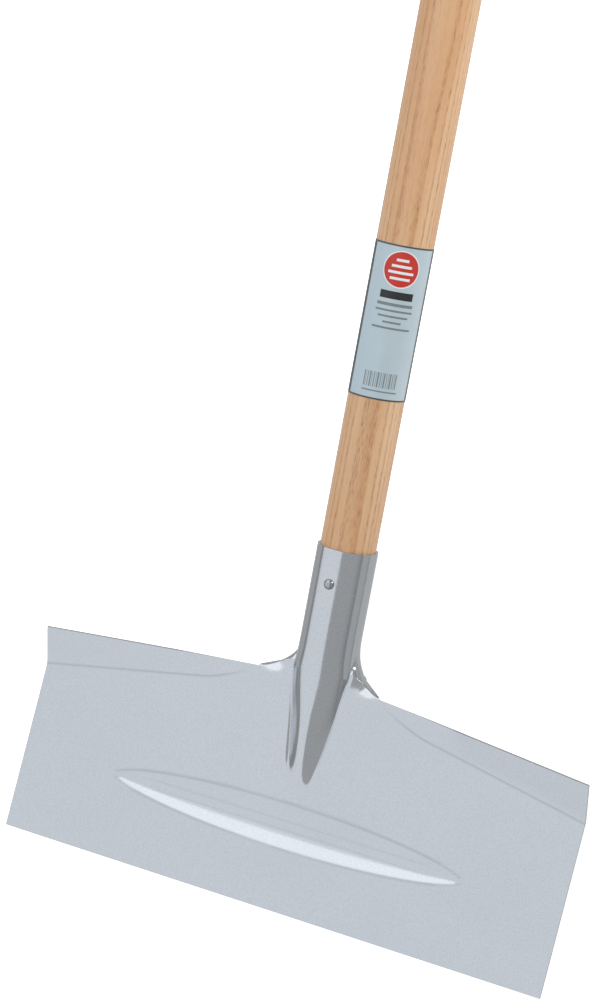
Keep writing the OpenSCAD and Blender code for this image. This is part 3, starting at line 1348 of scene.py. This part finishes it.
@dataclass
class Label:
    """The foil label with its generic print: a red disc, grey bars in place of words and upright strips.

    Attributes:
        place: Where the pan lies.
        pole: The line of the handle.
        start: Where its lower edge sits along the handle.
        length: Its length along the handle.
        turn: Angle of its middle line from the load side towards +X, in degrees.
        half_angle: Half of the angle it covers, in degrees.
        thickness: Height of its face over the wood.
        lifted: Height of each layer of print over the one below.
        border: Width of the dark border along its ends.
        side_border_and_shade: Width of the dark border along its sides, widened so that it also paints the
            shade at the label's silhouettes.
        disc_drop: Distance of the disc's middle below the top edge.
        disc_ring: Radius of the white ring round the disc.
        disc_radius: Radius of the disc.
        strips_from: Where the upright strips start, round the handle.
        strips_tall: Their height.
        strips_up: Their middle above the lower edge.
        foot_bar: Width, height and middle of the bar under them.
        parts: The finished objects.
    """

    place: Place
    pole: Pole = field(default_factory=Pole)
    start: float = 170.0
    length: float = 101.0
    turn: float = 25.0
    half_angle: float = 92.0
    thickness: float = 0.2
    lifted: float = 0.04
    border: float = 1.1
    side_border_and_shade: float = 7.5
    disc_drop: float = 15.5
    disc_ring: float = 12.2
    disc_radius: float = 11.4
    strips_from: float = -11.5
    strips_tall: float = 10.0
    strips_up: float = 13.0
    foot_bar: tuple[float, float, float] = (24.0, 0.9, 5.6)
    parts: list[bpy.types.Object] = field(default_factory=list)

    @property
    def half_round(self) -> float:
        """Half of its width, measured round the handle."""
        return math.radians(self.half_angle) * self.pole.radius(self.start + self.length / 2)

    def wrap(self, obj: bpy.types.Object, above: float) -> None:
        """Bends a flat mesh round the handle.

        Args:
            obj: A mesh whose X runs round the handle and whose Y runs up it, from the label's lower edge.
            above: Height of the mesh's Z = 0 over the wood.
        """
        middle = self.pole.radius(self.start + self.length / 2)
        for vertex in obj.data.vertices:
            x, y, z = vertex.co
            station = self.start + y
            radius = self.pole.radius(station) + above + z
            vertex.co = self.pole.point(station, math.radians(self.turn) + x / middle, radius)

    def patch(
        self, width: float, height: float, x: float, y: float, fine: float = 1.2, tall: float = 6.0
    ) -> bpy.types.Object:
        """Adds a flat rectangle of small faces.

        Args:
            width: Size round the handle.
            height: Size up the handle.
            x: Middle, round the handle.
            y: Middle, up from the lower edge.
            fine: Largest size of a face round the handle.
            tall: Largest size of a face up the handle.

        Returns:
            The new object.
        """
        deselect()
        bpy.ops.mesh.primitive_grid_add(
            x_subdivisions=max(1, math.ceil(width / fine)),
            y_subdivisions=max(1, math.ceil(height / tall)),
            size=1.0,
        )
        obj = bpy.context.object
        obj.data.transform(Matrix.Translation((x, y, 0.0)) @ Matrix.Diagonal((width, height, 1.0, 1.0)))
        return obj

    def disc(self, radius: float, x: float, y: float, sides: int = 64, cuts: int = 3) -> bpy.types.Object:
        """Adds a flat disc of small faces.

        Args:
            radius: Its radius.
            x: Middle, round the handle.
            y: Middle, up from the lower edge.
            sides: Steps round it.
            cuts: Cuts of each spoke.

        Returns:
            The new object.
        """
        deselect()
        bpy.ops.mesh.primitive_circle_add(vertices=sides, radius=radius, fill_type="TRIFAN")
        obj = bpy.context.object
        bpy.ops.object.mode_set(mode="EDIT")
        bpy.ops.mesh.select_all(action="SELECT")
        bpy.ops.mesh.subdivide(number_cuts=cuts)
        bpy.ops.object.mode_set(mode="OBJECT")
        obj.data.transform(Matrix.Translation((x, y, 0.0)))
        return obj

    def prints(self) -> Iterable[tuple[bpy.types.Object, Print, int]]:
        """Makes each printed shape, flat.

        Yields:
            The shape, its ink and its layer.
        """
        top, half = self.length, self.half_round
        edge, side = self.border, self.side_border_and_shade
        for y in (edge / 2, top - edge / 2):
            yield self.patch(2 * half, edge, 0.0, y), Print.BORDER, 0
        # The side borders are widened so that they also paint the shade where the label turns away at the
        # handle's silhouettes.
        for x in (-half + side / 2, half - side / 2):
            yield self.patch(side, top, x, top / 2), Print.BORDER, 0
        yield self.disc(self.disc_ring, 0.0, top - self.disc_drop), Print.WHITE, 0
        yield self.disc(self.disc_radius, 0.0, top - self.disc_drop), Print.RED, 1
        for bar in BARS:
            yield self.patch(bar.width, bar.height, 0.0, top - bar.drop), bar.ink, bar.layer
        x = self.strips_from
        for step, width in enumerate(STRIPS):
            yield self.patch(width, self.strips_tall, x + width / 2, self.strips_up), Print.GREY, 0
            x += width + (0.9 if step % 3 else 0.6)
        width, height, y = self.foot_bar
        yield self.patch(width, height, 0.0, y), Print.GREY, 0

    def build(self) -> list[bpy.types.Object]:
        """Cuts the foil and lays the print on it.

        Returns:
            The foil and the print.
        """
        foil = self.patch(2 * self.half_round, self.length, 0.0, self.length / 2)
        self.wrap(foil, self.thickness)
        solid = foil.modifiers.new("thickness", "SOLIDIFY")
        solid.thickness = self.thickness * 0.9
        solid.offset = -1.0
        apply_all(foil)
        self.parts = [settle(foil, "label_foil", self.place.matrix())]
        shapes: dict[Print, list[bpy.types.Object]] = {}
        for shape, ink, layer in self.prints():
            self.wrap(shape, self.thickness + self.lifted * (1 + layer))
            shapes.setdefault(ink, []).append(shape)
        for ink, group in shapes.items():
            deselect()
            for shape in group:
                shape.select_set(True)
            bpy.context.view_layer.objects.active = group[0]
            if len(group) > 1:
                bpy.ops.object.join()
            joined = bpy.context.view_layer.objects.active
            joined["ink"] = ink.name
            self.parts.append(settle(joined, f"label_print_{ink.name.lower()}", self.place.matrix()))
        return self.parts

    def dress(self) -> None:
        """Gives foil and print their finishes and ties them to the frame."""
        for part in self.parts:
            ink = part.get("ink")
            part.data.materials.append(Print[ink].value.build() if ink else FOIL.build())
            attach(part, ROOT)
        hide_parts("label")


# ---------------------------------------------------------------- studio


@dataclass(frozen=True)
class Panel:
    """A soft rectangular lamp.

    Attributes:
        name: Its name.
        place: Its centre.
        aim: The point it faces.
        size: Its two sides, in metres.
        radiance: Brightness of its face.
        colour: Its colour, as sRGB hex.
        mirrored: Whether metal shows it.
    """

    name: str
    place: tuple[float, float, float]
    aim: tuple[float, float, float]
    size: tuple[float, float]
    radiance: float
    colour: str = "#ffffff"
    mirrored: bool = True

    def build(self) -> bpy.types.Object:
        """Hangs the lamp.

        Returns:
            The lamp.
        """
        data = bpy.data.lights.new(self.name, "AREA")
        data.shape = "RECTANGLE"
        data.size, data.size_y = self.size
        data.energy = self.radiance * math.pi * self.size[0] * self.size[1]
        data.color = linear(self.colour)[:3]
        lamp = bpy.data.objects.new(self.name, data)
        bpy.context.collection.objects.link(lamp)
        lamp.location = self.place
        lamp.rotation_euler = (Vector(self.place) - Vector(self.aim)).to_track_quat("Z", "Y").to_euler()
        lamp.visible_glossy = self.mirrored
        lamp.visible_camera = False
        return lamp


# The world's grey by direction, from straight down at 0 over level at 0.5 to straight up at 1. The
# dark bands are what the flange and the rolled socket mirror between the lamps.
SURROUNDINGS = (
    (0.0, 0.50),
    (0.225, 0.50),
    (0.245, 0.16),
    (0.262, 0.42),
    (0.49, 0.44),
    (0.52, 0.24),
    (0.62, 0.36),
    (0.72, 0.40),
)

LAMPS = (
    Panel("key_panel", (-4.25, -2.65, 1.9), (-4.25, -2.65, 0.0), (8.88, 4.7), 0.428, "#eaf1fb"),
    Panel("rear_panel_near", (-1.5, -0.25, 1.9), (-1.5, -0.25, 0.0), (3.2, 0.34), 0.50, "#f0f4fa"),
    Panel("rear_panel_far", (-1.6, 1.38, 1.9), (-1.6, 1.38, 0.0), (3.0, 2.9), 0.78, "#f4f7fc"),
    Panel("sheen_strip", (0.60, 0.00, 0.39), (0.0, 0.02, 0.155), (0.12, 0.80), 5.0, "#fff8ee"),
    Panel("fill_right", (0.15, -0.3, 2.4), (0.0, 0.0, 0.1), (1.2, 1.8), 2.3, "#fffbf6", mirrored=False),
)


@dataclass
class Studio:
    """Floor, lamps, surroundings and camera.

    Attributes:
        floor_size: Length of the floor's sides, in metres.
        floor_level: Height of the floor, just under the shovel, in metres.
        floor_tones: Darkest and lightest colour of the floor.
        floor_clouds: Clouds of its tone per metre, about 330 mm each.
        floor_glow: Light of its own, which keeps it even.
        camera_place: Where the camera stands, in metres.
        camera_turn: How it is turned about X, Y and Z, in degrees.
        lens: Focal length, in millimetres.
        sensor: Width of its sensor, in millimetres.
        reach: Greatest distance it shows, in metres.
    """

    floor_size: float = 14.0
    floor_level: float = -0.0005
    floor_tones: tuple[str, str] = ("#f4f4f4", "#f8f8f8")
    floor_clouds: float = 3.0
    floor_glow: float = 0.8
    camera_place: tuple[float, float, float] = (0.74835, -0.43449, 1.85396)
    camera_turn: tuple[float, float, float] = (5.4258, 22.9332, 15.7381)
    lens: float = 108.0
    sensor: float = 36.0
    reach: float = 50.0

    def floor(self) -> None:
        """Lays a plain pale floor under the shovel."""
        deselect()
        bpy.ops.mesh.primitive_plane_add(size=self.floor_size, location=(0.0, 0.0, self.floor_level))
        floor = bpy.context.object
        floor.name = "studio_floor"
        material, tree, shader = Finish("studio_floor_matt_white").new()
        place = add(tree, "TexCoord").outputs["Object"]
        cloud = add(tree, "TexNoise", {"Vector": place, "Scale": self.floor_clouds, "Detail": 2.0})
        dark, light = (linear(tone) for tone in self.floor_tones)
        mix = {FACTOR: cloud.outputs["Fac"], FIRST: dark, SECOND: light}
        tree.links.new(add(tree, "Mix", mix, data_type="RGBA").outputs[MIXED], shader.inputs["Base Color"])
        shader.inputs["Roughness"].default_value = 0.9
        shader.inputs["Emission Color"].default_value = (1.0, 1.0, 1.0, 1.0)
        shader.inputs["Emission Strength"].default_value = self.floor_glow
        floor.data.materials.append(material)
        floor.visible_glossy = False

    def surroundings(self) -> None:
        """Sets the light of the room, which changes with height only."""
        world = bpy.data.worlds.new("studio")
        world.use_nodes = True
        tree = world.node_tree
        tree.nodes.clear()
        way = add(tree, "SeparateXYZ", {"Vector": add(tree, "TexCoord").outputs["Generated"]})
        height = add(tree, "MapRange", {"Value": way.outputs["Z"], "From Min": -1.0, "From Max": 1.0})
        tone = add(tree, "ValToRGB", {"Fac": height.outputs["Result"]}, SURROUNDINGS)
        back = add(tree, "Background", {"Color": tone.outputs["Color"], "Strength": 1.0})
        add(tree, "OutputWorld", {"Surface": back.outputs["Background"]})
        bpy.context.scene.world = world

    def camera(self) -> None:
        """Places the camera over the load side, a little to the right."""
        data = bpy.data.cameras.new("camera")
        data.sensor_width = self.sensor
        data.lens = self.lens
        data.clip_end = self.reach
        camera = bpy.data.objects.new("camera", data)
        bpy.context.collection.objects.link(camera)
        camera.location = self.camera_place
        camera.rotation_euler = tuple(math.radians(a) for a in self.camera_turn)
        bpy.context.scene.camera = camera

    def build(self) -> None:
        """Sets everything up."""
        self.floor()
        self.surroundings()
        for panel in LAMPS:
            panel.build()
        self.camera()
        bpy.context.scene.view_settings.view_transform = "Standard"


def main() -> None:
    """Builds and dresses the shovel, then the studio."""
    logging.basicConfig(level=logging.INFO, format="%(message)s")
    place = Place.from_cad(SheetShape().side_depth)
    blade = Blade(place)
    handle = Handle(place)
    nail = Nail(place, handle)
    label = Label(place)
    for piece in (blade, handle, nail, label):
        made = piece.build()
        piece.dress()
        for obj in made if isinstance(made, list) else [made]:
            log.info("%s: %d faces", obj.name, len(obj.data.polygons))
    Studio().build()


if __name__ == "__main__":
    main()
